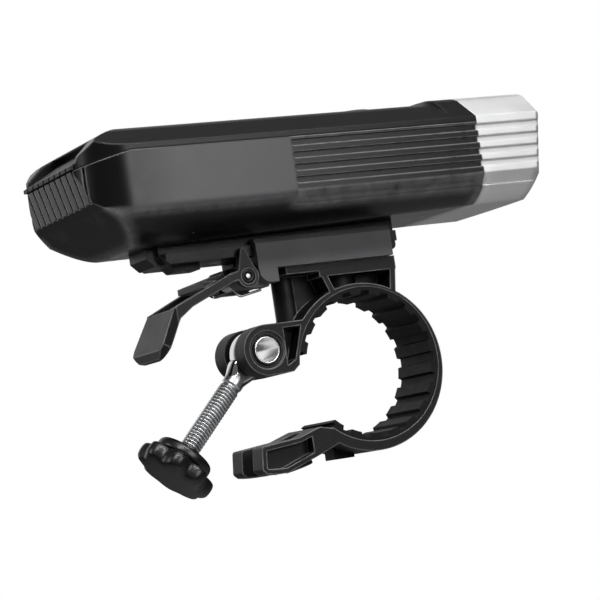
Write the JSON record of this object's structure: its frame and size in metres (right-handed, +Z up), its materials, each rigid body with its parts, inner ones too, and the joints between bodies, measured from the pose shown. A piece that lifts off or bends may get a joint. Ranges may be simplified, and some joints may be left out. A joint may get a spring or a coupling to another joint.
{
  "type": "bike headlight",
  "caption": "Bicycle headlight with a finned metal front, charging port flap and quick-release slide rail on a swivelling swing-bolt clamp for the handlebar.",
  "frame": {"origin": "centre of the handlebar bore of the clamp", "axes": "+X the way the beam points, +Y along the handlebar away from the near side, +Z up towards the lamp body"},
  "size_m": [0.1158, 0.0474, 0.0838],
  "materials": {
    "case_plastic": "satin black moulded",
    "frame_plastic": "spark-textured black",
    "lever_plastic": "fine matt black",
    "knob_plastic": "semi-gloss black",
    "black_rubber": "matt",
    "steel": "turned",
    "chromed_steel": "chromed",
    "brass_insert": "turned",
    "bezel_metal": "bead-blasted anodised",
    "clear_window": "clear",
    "smoked_window": "smoked",
    "mirror_coat": "metallised",
    "board_metal": "white solder mask",
    "emitter": "phosphor yellow",
    "cell_wrap": "shrink wrap",
    "holder_plastic": "moulded",
    "circuit_board": "green mask"
  },
  "bodies": {
    "clamp": {"clamp_band": "frame_plastic", "clamp_liner": "black_rubber", "pivot_barrel": "steel", "swivel_screw": "steel", "swivel_nut": "steel"},
    "mount": {"mount_base": "frame_plastic", "lever_pin": "steel", "lever_spring": "steel"},
    "lever": {"release_lever": "lever_plastic"},
    "light": {"lower_housing": "case_plastic", "top_cover": "case_plastic", "front_bezel": "bezel_metal", "front_lens": "clear_window", "lens_gasket": "black_rubber", "reflectors": "mirror_coat", "led_board": "board_metal", "led_emitters": "emitter", "battery_cells": "cell_wrap", "cell_holder": "holder_plastic", "driver_board": "circuit_board", "display_board": "circuit_board", "display_window": "smoked_window", "button_switch": "holder_plastic", "charging_socket": "steel", "rail_shoe": "lever_plastic", "case_screws": "steel", "shoe_screws": "steel"},
    "button": {"power_button": "case_plastic"},
    "flap": {"port_cover": "black_rubber"},
    "bolt": {"clamp_bolt": "chromed_steel"},
    "collar": {"knob_collar": "knob_plastic"},
    "knob": {"clamp_knob": "knob_plastic", "knob_insert": "brass_insert"}
  },
  "joints": [
    {"name": "mount_swivel", "type": "hinge", "parent": "clamp", "child": "mount", "pos_m": [-0.001, 0, 0.024], "axis": [0, 0, 1], "range_deg": [-10, 10]},
    {"name": "lever_press", "type": "hinge", "parent": "mount", "child": "lever", "pos_m": [-0.0275, 0, 0.0227], "axis": [0, 1, 0], "range_deg": [-10, 0], "stiffness_Nm_per_rad": 0.4},
    {"name": "light_slide", "type": "slide", "parent": "mount", "child": "light", "axis": [1, 0, 0], "range_m": [0, 0.05]},
    {"name": "button_press", "type": "slide", "parent": "light", "child": "button", "axis": [0, 0, -1], "range_m": [0, 0.0006], "stiffness_N_per_m": 2500},
    {"name": "flap_hinge", "type": "hinge", "parent": "light", "child": "flap", "pos_m": [-0.0594, 0, 0.0544], "axis": [0, 1, 0], "range_deg": [0, 75], "stiffness_Nm_per_rad": 0.004},
    {"name": "bolt_swing", "type": "hinge", "parent": "clamp", "child": "bolt", "pos_m": [-0.0249, 0, 0.0059], "axis": [0, 1, 0], "range_deg": [-56.4, 20]},
    {"name": "knob_travel", "type": "slide", "parent": "bolt", "child": "collar", "axis": [-0.6972, 0, -0.7169], "range_m": [0, 0.0024]},
    {"name": "knob_turn", "type": "hinge", "parent": "collar", "child": "knob", "pos_m": [-0.0249, 0, 0.0059], "axis": [-0.6972, 0, -0.7169], "range_deg": [0, 1080]}
  ],
  "couplings": [
    {"joint": "knob_turn", "follows": "knob_travel", "rad_per_m": 7854}
  ]
}
